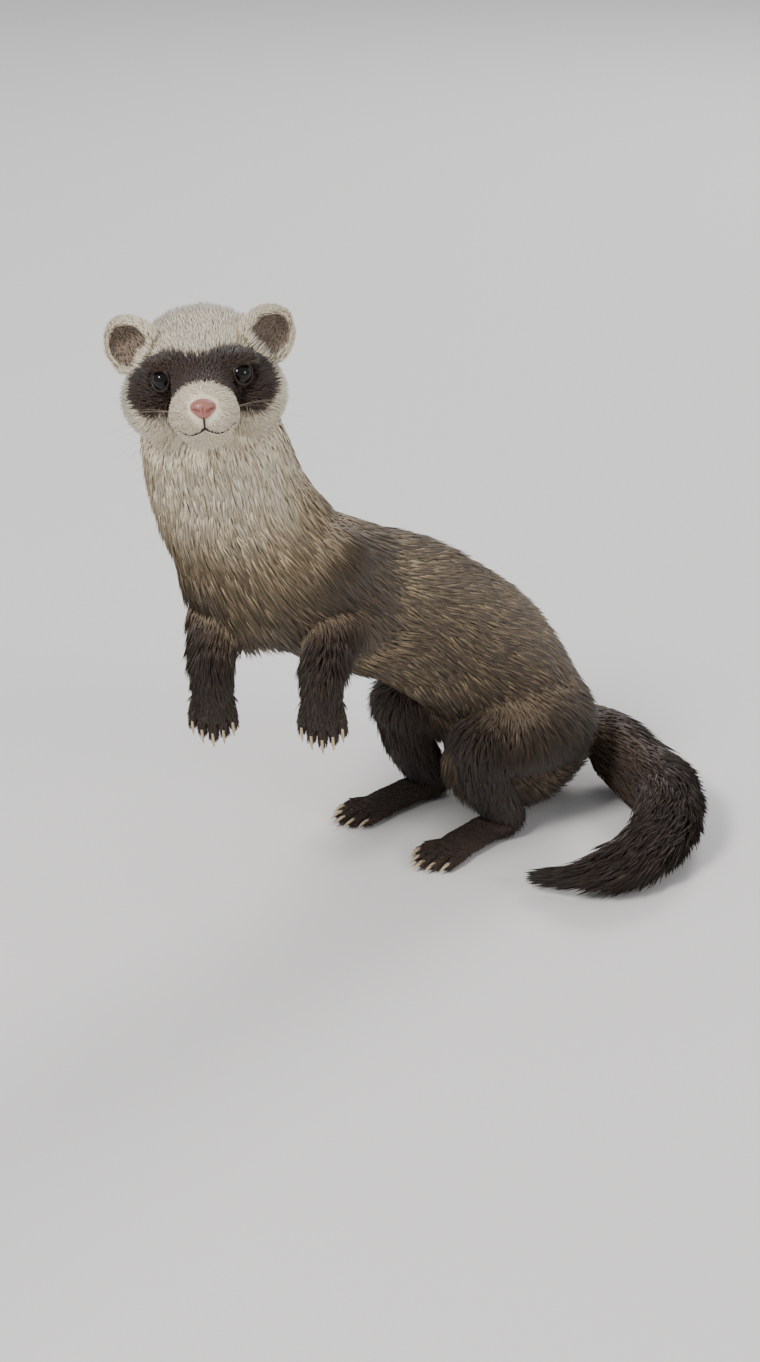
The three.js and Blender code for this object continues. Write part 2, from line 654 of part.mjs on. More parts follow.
// Finishes: colour, roughness and metalness of each kind of part
const FINISHES = {
  coat: [0x8a7358, 0.85],
  darkCoat: [0x3b2c22, 0.85],
  face: [0xd8c7a8, 0.85],
  noseSkin: [0x8c5a50, 0.5],
  eye: [0x14100e, 0.1],
};
const FINISH_OF = [
  [/^eye/, "eye"],
  [/^nose/, "noseSkin"],
  [/^(head|ear)/, "face"],
  [/^(fore|hind|tail)/, "darkCoat"],
  [/./, "coat"],
];
const animal = new THREE.Group();
for (const [name, solid] of parts) {
  const [colour, roughness] = FINISHES[FINISH_OF.find(([pattern]) => pattern.test(name))[1]];
  const mesh = new THREE.Mesh(geometryOf(solid), new THREE.MeshStandardMaterial({ color: colour, roughness, metalness: 0 }));
  mesh.name = name;
  animal.add(mesh);
}
// The origin is on the floor, under the middle of the animal's box.
const box = new THREE.Box3().setFromObject(animal);
const middle = box.getCenter(new THREE.Vector3());
for (const mesh of animal.children) mesh.geometry.translate(-middle.x, -middle.y, 0);

export default animal;
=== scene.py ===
import math

import bpy
import numpy as np
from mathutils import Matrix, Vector


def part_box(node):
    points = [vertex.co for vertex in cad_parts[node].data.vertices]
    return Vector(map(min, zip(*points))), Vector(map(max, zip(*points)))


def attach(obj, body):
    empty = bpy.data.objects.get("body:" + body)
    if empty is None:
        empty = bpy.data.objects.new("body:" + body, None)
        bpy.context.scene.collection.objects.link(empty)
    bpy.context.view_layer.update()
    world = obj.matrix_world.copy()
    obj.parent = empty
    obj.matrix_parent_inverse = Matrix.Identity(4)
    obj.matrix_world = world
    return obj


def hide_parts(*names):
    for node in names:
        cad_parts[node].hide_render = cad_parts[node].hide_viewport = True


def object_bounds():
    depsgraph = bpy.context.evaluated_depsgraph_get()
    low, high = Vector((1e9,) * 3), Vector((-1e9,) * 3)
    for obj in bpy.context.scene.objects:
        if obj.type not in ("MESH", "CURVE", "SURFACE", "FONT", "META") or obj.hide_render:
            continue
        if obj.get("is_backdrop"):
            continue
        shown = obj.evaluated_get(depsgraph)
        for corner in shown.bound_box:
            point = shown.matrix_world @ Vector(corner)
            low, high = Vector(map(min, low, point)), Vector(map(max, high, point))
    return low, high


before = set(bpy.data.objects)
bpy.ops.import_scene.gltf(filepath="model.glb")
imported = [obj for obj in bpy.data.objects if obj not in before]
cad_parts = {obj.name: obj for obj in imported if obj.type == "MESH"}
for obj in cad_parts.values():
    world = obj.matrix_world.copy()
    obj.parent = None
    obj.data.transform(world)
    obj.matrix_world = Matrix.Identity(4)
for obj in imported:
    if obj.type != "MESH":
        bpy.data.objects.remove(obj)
cad_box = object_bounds()

# Driving sizes, in millimetres and degrees, in the axes that the solids were drawn in
HEAD_AT = np.array([-69, -30, 229.0])
HEAD_PITCH, HEAD_YAW, HEAD_ROLL = 5, 4, 3.5
EYE_RADIUS = 4.3
EYE_AT = np.array([14, -14, 4.4])
EAR_AT = np.array([25, 6, 14.0])
EAR_SIZE = np.array([11.2, 6.4, 11.8])
NOSE_AT = np.array([0, -38.6, -2.3])
HIND_HEADING, FORE_HEADING = 220, 262
TAIL_CURL_AT, TAIL_CURL = np.array([82, 42.0]), np.array([41, 54.0])
TAIL_START, TAIL_TURN = 93, 190
TAIL_CORE_RADIUS, TAIL_FUR_RADIUS, TAIL_TIP_FUR = 9, 18, 26
TOE_SPREAD = 0.28
SKIN_FLOOR, HAIR_FLOOR = 0.35, 0.4  # how low skin and hair reach
SKIN_CELL = 1.15
COAT_SHARE = 1.0
rng = np.random.default_rng(11)


# Vectors
def unit(v):
    return v / np.maximum(np.linalg.norm(v, axis=-1, keepdims=True), 1e-9)


def smoothstep(value, low, high):
    t = np.clip((value - low) / (high - low), 0, 1)
    return t * t * (3 - 2 * t)


def mix(a, b, t):
    return a + (b - a) * t


def turn(axis, angle):
    """A rotation matrix about x, y or z, in degrees."""
    c, s = math.cos(math.radians(angle)), math.sin(math.radians(angle))
    matrix = np.eye(3)
    i, j = [(1, 2), (2, 0), (0, 1)]["xyz".index(axis)]
    matrix[i, i] = matrix[j, j] = c
    matrix[i, j], matrix[j, i] = -s, s
    return matrix


def heading(angle):
    return np.array([math.cos(math.radians(angle)), math.sin(math.radians(angle)), 0])


def placed(origin, angle, forward, left, up):
    return origin + heading(angle) * forward + heading(angle + 90) * left + np.array([0, 0, up])


HEAD_TURN = turn("z", HEAD_YAW) @ turn("x", -HEAD_PITCH) @ turn("y", -HEAD_ROLL)


def to_head(p):
    return (p - HEAD_AT) @ HEAD_TURN


def from_head(p):
    return np.asarray(p, float) @ HEAD_TURN.T + HEAD_AT


# The solids sit with their box's middle over the origin, so an eye tells how far the drawing axes were moved.
low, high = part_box("eye_left")
MOVED = np.array((low + high) / 2) * 1000 - from_head(EYE_AT)


def in_metres(p):
    return (p + MOVED) / 1000


# Forms: each gives how far points lie outside it, below 0 inside
def rings_along(stations, steps):
    """A smooth curve through stations [x, y, z, radius], as steps + 1 rings."""
    stations = np.array(stations, float)
    last = len(stations) - 1
    rings = []
    for t in np.linspace(0, 1, steps + 1) * last:
        i = min(int(t), last - 1)
        u = t - i
        a, b, c, d = (stations[min(max(i + k, 0), last)] for k in (-1, 0, 1, 2))
        rise, slope_b, slope_c = c - b, (c - a) / 2, (d - b) / 2
        bend = 3 * rise - 2 * slope_b - slope_c + u * (slope_b + slope_c - 2 * rise)
        rings.append(b + u * (slope_b + u * bend))
    return np.array(rings)


def tube(rings, p):
    """Distance outside a round tube, and the place along it from 0 to 1."""
    best = np.full(len(p), 1e9)
    place = np.zeros(len(p))
    for i in range(len(rings) - 1):
        start, step = rings[i, :3], rings[i + 1, :3] - rings[i, :3]
        q = p - start
        s = np.clip(q @ step / (step @ step), 0, 1)
        d = np.linalg.norm(q - s[:, None] * step, axis=1) - mix(rings[i, 3], rings[i + 1, 3], s)
        nearer = d < best
        best[nearer] = d[nearer]
        place[nearer] = (i + s[nearer]) / (len(rings) - 1)
    return best, place


def ellipsoid(centre, radii, p):
    q = p - np.array(centre, float)
    near = np.linalg.norm(q / np.array(radii), axis=1)
    slope = np.linalg.norm(q / np.array(radii, float) ** 2, axis=1)
    return near * (near - 1) / np.maximum(slope, 1e-9)


def blended(a, b, soft):
    return np.minimum(a, b) - np.maximum(soft - np.abs(a - b), 0) ** 2 / (4 * soft)


SPINE = [
    [80, 96, 30, 13],
    [61, 83, 42, 32],
    [39, 62, 79, 34.5],
    [10, 38, 108, 34],
    [-19, 14, 127, 33],
    [-43, -1, 145, 33],
    [-59, -8, 170, 33],
    [-67, -11, 198, 31.5],
    [-69, -12, 219, 28.5],
]
HIPS_AT, SHOULDERS_AT = np.array(SPINE[1][:3]), np.array(SPINE[5][:3])
SPINE_RINGS = rings_along(SPINE, 48)
HIND_LEG = [[4, 21, 4, 18.5], [26, 24.5, 8, 19], [47, 26.5, 9, 14.5], [45, 26, -9, 12], [33, 25, -32, 9.5]]
FORELEG = [
    [12, 20, 8, 11],
    [2, 23, -4, 13],
    [-9, 24, -16, 11.5],
    [11, 23.5, -20, 11],
    [28, 22.5, -29, 9.2],
    [33, 22, -39, 8.2],
]


def trunk(p):
    d, _ = tube(SPINE_RINGS, p)
    hips = (p - [57, 79, 27]) @ turn("z", HIND_HEADING)
    d = blended(d, ellipsoid([0, 0, 0], [38, 29, 29], hips), 14)
    chest = (p - [-51, -11, 152]) @ turn("z", FORE_HEADING - 270)
    return blended(d, ellipsoid([0, 0, 0], [28, 23, 34], chest), 14)


def head(p):
    q = to_head(p)
    d = ellipsoid([0, 14, 5], [26.5, 27, 21], q)
    # Brow, bridge, muzzle and jaw, then a lip and a cheek on each side
    forms = [([0, -4, 7], [18, 18, 13]), ([0, -18, 1], [11, 18, 9]), ([0, -27, -5], [10.5, 13, 8.5])]
    forms += [([0, -18, -14.5], [10, 16, 7])]
    for side in (1, -1):
        forms += [([5.8 * side, -31, -6.8], [6.6, 8.2, 6.2]), ([19 * side, 3, -6], [13, 19, 15])]
    for centre, radii in forms:
        d = blended(d, ellipsoid(centre, radii, q), 7)
    return d


def face_depth(p):
    """The coat is thin on the muzzle and deeper towards the cheeks and the nape."""
    return mix(1.0, 3.6, smoothstep(to_head(p)[:, 1], -26, 8))


def face_skin(p):
    """The head under its coat, with a socket and a brow for each eye."""
    q = to_head(p)
    d = head(p) + face_depth(p)
    for side in (1, -1):
        socket = ellipsoid(EYE_AT * [side, 1, 1] + [1.2 * side, -2.2, 0], [5.6, 4.2, 4.8], q)
        d = np.maximum(d, -socket)
        d = blended(d, ellipsoid(EYE_AT * [side, 1, 1] + [-0.6 * side, 0.8, 5.2], [6.5, 4.5, 2.6], q), 3)
    return d


def ear_axes(side):
    return turn("y", 34 * side) @ turn("z", 24 * side) @ turn("x", -8)


def ear_hollow(q):
    return ellipsoid([0, -2.9, 0.2], EAR_SIZE - [2.3, 0.6, 2.4], q)


def ear(p, side):
    q = (to_head(p) - EAR_AT * [side, 1, 1]) @ ear_axes(side)
    return np.maximum(ellipsoid([0, 0, 0], EAR_SIZE - 0.6, q), -ear_hollow(q))


def leg_rings(stations, origin, angle, side):
    points = [[*placed(origin, angle, f, l * side, u), r] for f, l, u, r in stations]
    return np.concatenate([rings_along(points[:3], 8), rings_along(points[2:], 9)])


class Foot:
    """A foot with its own axes: ahead along the toes, side and up."""

    def __init__(self, at, ahead, top, body, toes, claw, widths):
        self.at, self.body, self.toes, self.claw, self.widths = at, rings_along(body, 8), toes, claw, widths
        ahead, top = unit(np.array(ahead, float)), unit(np.array(top, float))
        self.axes = np.array([ahead, np.cross(top, ahead), top])

    def place(self, f, s, u):
        return self.at + np.array([f, s, u]) @ self.axes

    def distance(self, p):
        q = (p - self.at) @ self.axes.T
        wide, narrow, start, end = self.widths
        across = mix(wide, narrow, smoothstep(q[:, 0], start, end))
        flat = q * np.stack([np.ones(len(q)), across, np.ones(len(q))], 1)
        d, _ = tube(self.body, flat)
        for f, s, length, radius in self.toes:
            spread = s * TOE_SPREAD
            ends = [
                [f - 0.3 * length, s - 0.3 * spread, -0.3, radius * 0.75],
                [f + 0.45 * length, s + 0.6 * spread, 0.2, radius * 0.84],
                [f + 0.92 * length, s + 1.05 * spread, -1, radius * 0.66],
            ]
            toe, _ = tube(np.array(ends), q)
            d = blended(d, toe, 0.7)
        return d


# Toes: how far ahead and to the side each one starts, its length and its radius
HIND_TOES = [[22, -7.2, 11, 2.9], [24, -3.8, 14, 3], [25, 0, 15, 3], [24, 3.8, 14, 3], [22, 7.2, 11, 2.9]]
FORE_TOES = [[7, -6.4, 9, 2.7], [9, -3.4, 10.5, 2.8], [10, 0, 11, 2.8], [9, 3.4, 10.5, 2.8], [7, 6.4, 9, 2.7]]


def hind_foot(side):
    at = placed(HIPS_AT, HIND_HEADING, 43, 25 * side, 3.3 - HIPS_AT[2])
    body = [[-17, 0, 3.5, 4.5], [-10, 0, 3, 6.4], [6, 0, 1.6, 5.4], [20, 0, 0.4, 4.4], [26, 0, -0.4, 3.4]]
    return Foot(at, heading(HIND_HEADING + 3 * side), [0, 0, 1], body, HIND_TOES, 6.5, (0.95, 0.52, -12, 20))


def forepaw(side):
    at = placed(SHOULDERS_AT, FORE_HEADING, 33, 22 * side, -40)
    body = [[-2, 0, 0, 5.2], [4, 0, 0, 5], [11, 0, 0, 4.2]]
    top = heading(FORE_HEADING) + [0, 0, 0.2]
    return Foot(at, [0, -0.22, -1], top, body, FORE_TOES, 6, (0.85, 0.55, -2, 10))


tail_angle = np.radians(TAIL_START - TAIL_TURN * np.linspace(0, 1, 201))
TAIL_OVAL = TAIL_CURL_AT + TAIL_CURL * np.stack([np.cos(tail_angle), np.sin(tail_angle)], 1)
TAIL_MARKS = np.r_[0, np.cumsum(np.linalg.norm(np.diff(TAIL_OVAL, axis=0), axis=1))]
TAIL_LENGTH = TAIL_MARKS[-1]


def tail_line():
    """The tail's middle line, sinking to the floor as it curls round, with the radius of its core."""
    on = np.linspace(0, TAIL_LENGTH - 4, 48)
    x, y = (np.interp(on, TAIL_MARKS, TAIL_OVAL[:, n]) for n in (0, 1))
    z = mix(SPINE[0][2], 0.9 * tail_fur(on), smoothstep(on, 0, 45))
    return np.stack([x, y, z, tail_core(on)], 1)


def tail_core(on):
    return TAIL_CORE_RADIUS * (1 - 0.55 * smoothstep(on, 80, TAIL_LENGTH))


def tail_fur(on):
    end = TAIL_LENGTH + TAIL_TIP_FUR
    swell = mix(0.82, 1, smoothstep(on, 0, 40))
    return TAIL_FUR_RADIUS * swell * np.sqrt(np.maximum(1 - smoothstep(on, 75, end + 6) ** 1.4, 0))


TAIL_RINGS = tail_line()


class Region:
    """A part of the body: its distance, how softly it joins the rest, its coat and the lie of its hair."""

    def __init__(self, name, distance, line, soft, depth, coat, reach):
        self.name, self.distance, self.line, self.soft, self.depth = name, distance, line, soft, depth
        self.length, self.width, self.lift, self.density = coat
        self.low, self.high = line[:, :3].min(0) - reach, line[:, :3].max(0) + reach

    def near(self, p):
        """Distances, far off where a point is outside this region's box."""
        d = np.full(len(p), 60.0)
        within = np.all((p > self.low) & (p < self.high), axis=1)
        if within.any():
            d[within] = self.distance(p[within])
        return d


def round_line(line):
    return lambda p: tube(line, p)[0]


HEAD_LINE = np.array([[*from_head([0, y, 0]), 20] for y in np.linspace(-40, 40, 9)])
# Each region's name, distance, line, softness, depth of coat, coat and reach. The coat is the hair's length,
# its width, its lift in degrees and the tufts in a square millimetre
REGIONS = [
    Region("trunk", trunk, SPINE_RINGS[::-1], 14, 6.5, (17, 1.25, 25, 1.0), 60),
    Region("head", face_skin, HEAD_LINE, 9, 0, (5.5, 0.7, 26, 2.1), 45),
    Region("tail", round_line(TAIL_RINGS), TAIL_RINGS, 7, 0.5, (22, 1.5, 32, 1.9), 26),
]
for side, word in ((1, "left"), (-1, "right")):
    line = leg_rings(HIND_LEG, HIPS_AT, HIND_HEADING, side)
    REGIONS.append(Region("hind_leg_" + word, round_line(line), line, 12, 3.4, (11, 1.05, 26, 1.3), 36))
    line = leg_rings(FORELEG, SHOULDERS_AT, FORE_HEADING, side)
    REGIONS.append(Region("foreleg_" + word, round_line(line), line, 13, 2.4, (11.5, 1.0, 29, 1.4), 30))
    feet = (("hind_foot_", hind_foot(side), 38, 16), ("forepaw_", forepaw(side), 20, 14))
    for name, foot, ahead, reach in feet:
        line = np.array([[*foot.place(f, 0, 0), 5] for f in np.linspace(-12, ahead, 5)])
        REGIONS.append(Region(name + word, foot.distance, line, 3, 0.4, (2.9, 0.6, 15, 2.8), reach))
        REGIONS[-1].foot = foot
    ear_points = [EAR_AT * [side, 1, 1] + ear_axes(side) @ [0, 0, z] for z in (-10, 0, 10)]
    line = np.array([[*from_head(point), 5] for point in ear_points])
    ear_coat = (3.2, 0.55, 24, 2.8)
    REGIONS.append(Region("ear_" + word, lambda p, s=side: ear(p, s), line, 2.4, 0, ear_coat, 18))
NAMES = [region.name for region in REGIONS]


def skin(p):
    """The whole body without its coat, flat where it rests on the floor."""
    total = np.full(len(p), 60.0)
    for region in REGIONS:
        total = blended(total, region.near(p) + region.depth, region.soft)
    return np.maximum(total, SKIN_FLOOR - p[:, 2])


def shares_of(p):
    """How much of each region's coat grows at each point: these run into one another where regions meet."""
    distances = np.stack([region.near(p) + region.depth for region in REGIONS], 1)
    shares = np.exp(-np.clip(distances - distances.min(1)[:, None], 0, 60) / 2.5)
    return shares / shares.sum(1)[:, None]


def down_leg(p, shares, start, end):
    """How far down a leg each point is, by its share of the legs: 0 above the start, 1 past the end."""
    down = np.zeros(len(p))
    for n, part in enumerate(REGIONS):
        if "leg" in part.name:
            here = shares[:, n] > 0.01
            down[here] += shares[here, n] * smoothstep(tube(part.line, p[here])[1], start, end)
    return down


# Meshes
def surface(field, low, high, cell):
    """A closed mesh of the field's surface, from a fine grid that is filled only near the surface."""
    block = 6
    low = np.array(low, float)
    blocks = np.ceil((np.array(high) - low) / (cell * block)).astype(int)
    corner = np.stack(np.meshgrid(*(np.arange(n) for n in blocks), indexing="ij"), -1).reshape(-1, 3)
    coarse = field(low + (corner + 0.5) * cell * block)
    values = coarse.reshape(blocks).astype(np.float32)
    for axis in range(3):
        values = np.repeat(values, block, axis)
    near = corner[np.abs(coarse) < cell * block * 1.15]
    inner = np.stack(np.meshgrid(*(np.arange(block),) * 3, indexing="ij"), -1).reshape(1, -1, 3)
    index = (near[:, None] * block + inner).reshape(-1, 3)
    for part in np.array_split(index, max(1, len(index) // 200000)):
        values[part[:, 0], part[:, 1], part[:, 2]] = field(low + part * cell)
    inside = values < 0
    shape = np.array(values.shape) - 1
    corners = [(c & 1, (c >> 1) & 1, c >> 2) for c in range(8)]
    count = np.zeros(tuple(shape), np.int8)
    for a, b, c in corners:
        count += inside[a : a + shape[0], b : b + shape[1], c : c + shape[2]]
    cells = np.argwhere((count > 0) & (count < 8))
    total, crossings = np.zeros((len(cells), 3)), np.zeros(len(cells))
    for a in corners:
        for b in corners:
            if sum(b) - sum(a) != 1 or any(y < x for x, y in zip(a, b)):
                continue
            va, vb = (values[tuple((cells + end).T)] for end in (a, b))
            crossed = (va < 0) != (vb < 0)
            s = np.where(crossed, va / np.where(crossed, va - vb, 1), 0)
            total += crossed[:, None] * (np.array(a) + s[:, None] * (np.array(b) - a))
            crossings += crossed
    points = low + (cells + total / crossings[:, None]) * cell
    for _ in range(2):
        points -= np.clip(field(points), -cell / 3, cell / 3)[:, None] * unit(slope(field, points))
    number = np.full(tuple(shape), -1, np.int32)
    number[tuple(cells.T)] = np.arange(len(cells))
    quads = []
    for axis in range(3):
        step = np.eye(3, dtype=int)
        u, v = step[(axis + 1) % 3], step[(axis + 2) % 3]
        here = inside[1:-1, 1:-1, 1:-1]
        there = inside[tuple(slice(1 + step[axis][n], inside.shape[n] - 1 + step[axis][n]) for n in range(3))]
        edge = np.argwhere(here != there) + 1
        shifts = [s * u + t * v for s, t in ((0, 0), (1, 0), (1, 1), (0, 1))]
        ring = np.stack([number[tuple((edge - shift).T)] for shift in shifts], 1)
        back = ~inside[tuple(edge.T)]
        ring[back] = ring[back][:, ::-1]
        quads.append(ring)
    return points, np.concatenate(quads)


def slope(field, p, h=0.2):
    value = field(p)
    return np.stack([(field(p + h * axis) - value) / h for axis in np.eye(3)], 1)


def mesh_object(name, points, faces):
    """An object from points in millimetres and faces that all have the same number of corners."""
    mesh = bpy.data.meshes.new(name)
    sides = faces.shape[1]
    mesh.vertices.add(len(points))
    mesh.vertices.foreach_set("co", in_metres(points).astype(np.float32).ravel())
    mesh.loops.add(faces.size)
    mesh.loops.foreach_set("vertex_index", faces.astype(np.int32).ravel())
    mesh.polygons.add(len(faces))
    mesh.polygons.foreach_set("loop_start", np.arange(0, faces.size, sides, dtype=np.int32))
    mesh.polygons.foreach_set("loop_total", np.full(len(faces), sides, np.int32))
    mesh.update(calc_edges=True)
    mesh.polygons.foreach_set("use_smooth", np.full(len(faces), True))
    made = bpy.data.objects.new(name, mesh)
    bpy.context.scene.collection.objects.link(made)
    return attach(made, "root")


def tint_points(made, colours):
    layer = made.data.color_attributes.new("tint", "FLOAT_COLOR", "POINT")
    layer.data.foreach_set("color", np.c_[colours, np.ones(len(colours))].astype(np.float32).ravel())
    made.data.update()


def spikes(paths, radii, sides, flat=None):
    """Closed tapered rods: paths are n by rings by 3, radii n by rings. The last ring is a point."""
    n, rings = paths.shape[:2]
    ahead = unit(np.gradient(paths, axis=1))
    flat = np.tile([0.31, 0.17, 0.93], (n, 1)) if flat is None else flat
    side = unit(np.cross(ahead, flat[:, None]))
    up = np.cross(side, ahead)
    angle = 2 * np.pi * np.arange(sides) / sides
    around = side[:, :-1, None] * np.cos(angle)[:, None] + up[:, :-1, None] * np.sin(angle)[:, None] * 0.6
    body = paths[:, :-1, None] + around * radii[:, :-1, None, None]
    points = np.concatenate([body.reshape(n, -1, 3), paths[:, -1:]], 1)
    corner = lambda i, s: i * sides + s % sides
    faces = [(0, s + 1, s) for s in range(1, sides - 1)]
    for i in range(rings - 2):
        for s in range(sides):
            a, b, c, d = corner(i, s), corner(i, s + 1), corner(i + 1, s + 1), corner(i + 1, s)
            faces += [(a, b, c), (a, c, d)]
    tip = (rings - 1) * sides
    faces += [(corner(rings - 2, s), corner(rings - 2, s + 1), tip) for s in range(sides)]
    faces = np.array(faces)[None] + points.shape[1] * np.arange(n)[:, None, None]
    return points.reshape(-1, 3), faces.reshape(-1, 3)


# Colours and materials
def colour(code):
    """An sRGB hex colour as linear numbers."""
    srgb = np.array([int(code[i : i + 2], 16) for i in (0, 2, 4)]) / 255
    return np.where(srgb <= 0.04045, srgb / 12.92, ((srgb + 0.055) / 1.055) ** 2.4)


UNDERCOAT = colour("cdb78f")
GUARD_TIP = colour("3e2c20")
BUFF_TIP = colour("a98d66")
POINTS_ROOT = colour("4d3a2c")
POINTS_TIP = colour("251911")
MASK_ROOT = colour("4a372a")
MASK_TIP = colour("2e2019")
PALE_ROOT = colour("cfc0a2")
PALE_TIP = colour("efe5cf")
EAR_LINING = colour("6d5245")


def waves(p, size, seed):
    """Smooth seeded noise from -1 to 1, with features about as wide as size in millimetres."""
    draw = np.random.default_rng(seed)
    total = np.zeros(len(p))
    for _ in range(6):
        way = unit(draw.normal(size=3)) * 2 * np.pi / (size * draw.uniform(1.4, 3))
        total += np.sin(p @ way + draw.uniform(0, 2 * np.pi))
    return total / 3


def blend_colours(a, b, share):
    return mix(a, b, share[:, None])


# The mask's upper and lower edge, by how far out from the middle of the face
MASK_ACROSS = [0, 4, 8, 13, 17, 20, 23, 25.5]
MASK_TOP = [7, 7.6, 9.2, 10.3, 9.3, 7.2, 3.4, -2.5]
MASK_FOOT = [-4, -4.3, -6.2, -10, -12.1, -12.2, -9.5, -4]
# Heights on the mask are square to a line that comes down to the face at 19 degrees
MASK_UP, MASK_BACK, MASK_RISE = 0.9455, 0.3256, 0.84


def ear_inside(q, side):
    """1 in the cup of the ear and 0 on its back and rim, from places in the head's own axes."""
    cup = (q - EAR_AT * [side, 1, 1]) @ ear_axes(side)
    return smoothstep(ear_hollow(cup), 0.7, 0.2) * smoothstep(cup[:, 1], -2.6, -1.2)


def darkness(p, shares):
    """From 0 to 1: full on feet, tail and lower legs, and fading out over the shoulders and hips."""
    ragged = waves(p, 7, 3)
    to_leg = np.min([part.near(p) + part.depth for part in REGIONS if "leg" in part.name], axis=0)
    dark = np.maximum(down_leg(p, shares, 0.1, 0.5), 0.62 * smoothstep(to_leg + 2 * ragged, 16, -1))
    for n, part in enumerate(REGIONS):
        if part.name == "tail" or "foot" in part.name or "paw" in part.name:
            dark += shares[:, n]
    return np.clip(dark + 0.08 * ragged * (dark > 0.05), 0, 1)


def markings(p, shares):
    """The roots' and the tips' colours at points on the body: the same for skin and coat."""
    ragged = waves(p, 7, 3)
    where = np.array(NAMES)[shares.argmax(1)]
    q = to_head(p)
    # Sable: cream undercoat with dark guard hair, heavier towards the rump and in soft patches
    roots, tips = np.tile(UNDERCOAT, (len(p), 1)), np.tile(GUARD_TIP, (len(p), 1))
    sable = np.clip(0.36 + 0.16 * waves(p, 34, 5) + 0.2 * smoothstep(p[:, 2], 120, 40), 0, 1)
    roots = blend_colours(roots, POINTS_ROOT, sable)
    # Paler throat and bib under the chin and down the front of the chest
    front = p @ heading(FORE_HEADING)
    bib = smoothstep(front + 3 * ragged, 8, 34) * smoothstep(p[:, 2] + 6 * ragged, 148, 190)
    bib = bib * (where == "trunk")
    roots = blend_colours(roots, PALE_ROOT, bib)
    tips = blend_colours(tips, BUFF_TIP, 0.8 * bib)
    # Dark legs and tail, coming on softly from the trunk
    dark = darkness(p, shares)
    roots = blend_colours(roots, POINTS_ROOT, dark)
    tips = blend_colours(tips, POINTS_TIP, dark)
    # The face: a pale ground that runs out down the neck and behind the ears
    reach = np.linalg.norm(q - [0, 0, -4], axis=1)
    pale = smoothstep(reach + 3 * ragged, 62, 36) * smoothstep(q[:, 1] + 4 * ragged, 32, 4)
    roots = blend_colours(roots, PALE_ROOT, pale)
    tips = blend_colours(tips, PALE_TIP, pale)
    # A dark band across both eyes, joined over the bridge of the nose
    across = np.abs(q[:, 0])
    height = MASK_UP * q[:, 2] + MASK_BACK * q[:, 1] + MASK_RISE + 0.35 * ragged
    top, foot = (np.interp(across, MASK_ACROSS, edge) for edge in (MASK_TOP, MASK_FOOT))
    band = smoothstep(top - height, -0.5, 1.0) * smoothstep(height - foot, -0.5, 1.0)
    band = band * smoothstep(26.3 - across, 0, 1.6) * smoothstep(q[:, 1], 9, 4) * (where == "head")
    roots = blend_colours(roots, MASK_ROOT, band)
    tips = blend_colours(tips, MASK_TIP, band)
    # The ears: brown in the cup, pale on the rim and behind
    for side, word in ((1, "left"), (-1, "right")):
        inside = ear_inside(q, side) * (where == "ear_" + word)
        roots = blend_colours(roots, EAR_LINING, 0.85 * inside)
        tips = blend_colours(tips, EAR_LINING, 0.7 * inside)
    return roots, tips


def node(tree, kind, settings=None, links=None):
    """Adds a node, sets its properties and input values, and links its inputs from other nodes' outputs."""
    made = tree.nodes.new(kind)
    for key, value in (settings or {}).items():
        if key in made.inputs:
            made.inputs[key].default_value = value
        else:
            setattr(made, key, value)
    for key, output in (links or {}).items():
        tree.links.new(output, made.inputs[key])
    return made


def material(name, settings, tint=None, base=None, grain=None):
    """A principled material. tint is a colour attribute, grain is (size in mm, strength, height in mm)."""
    made = bpy.data.materials.new(name)
    made.use_nodes = True
    tree = made.node_tree
    shader = tree.nodes["Principled BSDF"]
    for key, value in settings.items():
        shader.inputs[key].default_value = value
    if base is not None:
        shader.inputs["Base Color"].default_value = (*base, 1)
    if tint:
        read = node(tree, "ShaderNodeVertexColor", {"layer_name": tint})
        tree.links.new(read.outputs["Color"], shader.inputs["Base Color"])
    if grain:
        size, strength, height = grain
        place = node(tree, "ShaderNodeTexCoord").outputs["Object"]
        noise = node(tree, "ShaderNodeTexNoise", {"Scale": 1000 / size, "Detail": 3.0}, {"Vector": place})
        depth = {"Strength": strength, "Distance": height / 1000}
        bump = node(tree, "ShaderNodeBump", depth, {"Height": noise.outputs["Fac"]})
        tree.links.new(bump.outputs["Normal"], shader.inputs["Normal"])
    return made


# Skin under fur: matt, finely pitted by the hair roots
under_fur = material("skin_under_fur", {"Roughness": 0.75, "IOR": 1.4}, tint="tint", grain=(1.2, 0.5, 0.5))
# Fur: keratin fibres, so a soft broad gloss along the lie
fur = material(
    "sable_fur", {"Roughness": 0.58, "IOR": 1.5, "Sheen Weight": 0.05, "Sheen Roughness": 0.4}, tint="tint"
)
# Cornea: wet and clear over a near-black iris, so small sharp lights
wet_eye = material("wet_eye", {"Roughness": 0.04, "IOR": 1.38}, base=colour("0d0806"))
# Bare rhinarium: moist, pebbled skin, so soft broken lights
nose_leather = material(
    "moist_nose_skin", {"Roughness": 0.32, "IOR": 1.42}, base=colour("a06a5f"), grain=(0.8, 0.6, 0.25)
)
# Lid rims and lips: thin dark hairless skin, slightly wet, so a dim line of light
lid_skin = material(
    "dark_lid_skin", {"Roughness": 0.4, "IOR": 1.4}, base=colour("241813"), grain=(0.6, 0.3, 0.1)
)
# Claws: translucent keratin horn, smooth, so a pale brown with a soft sheen
claw_horn = material(
    "claw_horn",
    {"Roughness": 0.3, "IOR": 1.54, "Subsurface Weight": 0.1},
    base=colour("b79c7e"),
    grain=(1, 0.15, 0.1),
)
# Whiskers: stiff smooth keratin, so thin lines that catch the light
whisker_hair = material("whisker_hair", {"Roughness": 0.35, "IOR": 1.55}, base=colour("8f7f6c"))


